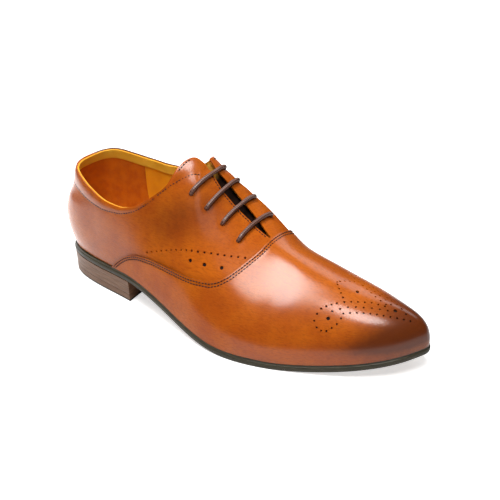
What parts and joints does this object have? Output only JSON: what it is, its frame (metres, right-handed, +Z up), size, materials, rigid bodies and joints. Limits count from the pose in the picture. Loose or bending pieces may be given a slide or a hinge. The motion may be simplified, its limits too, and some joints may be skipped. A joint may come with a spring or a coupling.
{
  "type": "leather shoe",
  "caption": "Tan burnished leather oxford with a plain pointed toe, punched decoration, waxed laces, a thin leather sole and a stacked heel.",
  "frame": {"origin": "floor level, centre of the bounding box in plan", "axes": "+X from heel to toe, +Z up, -Y the outer side of the right foot"},
  "size_m": [0.308, 0.1073, 0.1171],
  "materials": {
    "outsole_finish": "dark waxed edge",
    "heel_stack_finish": "dark waxed stacked leather",
    "heel_top_piece_finish": "matt",
    "insole_finish": "natural smooth",
    "upper_finish": "burnished gloss",
    "vamp_finish": "burnished gloss, darkened toe",
    "tongue_finish": "smooth",
    "lace_finish": "waxed round cord"
  },
  "bodies": {
    "root": {"outsole": "outsole_finish", "heel_stack": "heel_stack_finish", "heel_top_piece": "heel_top_piece_finish", "insole": "insole_finish", "upper": "upper_finish", "vamp": "vamp_finish", "tongue": "tongue_finish", "lace_bar_1": "lace_finish", "lace_bar_2": "lace_finish", "lace_bar_3": "lace_finish", "lace_bar_4": "lace_finish"}
  },
  "joints": []
}
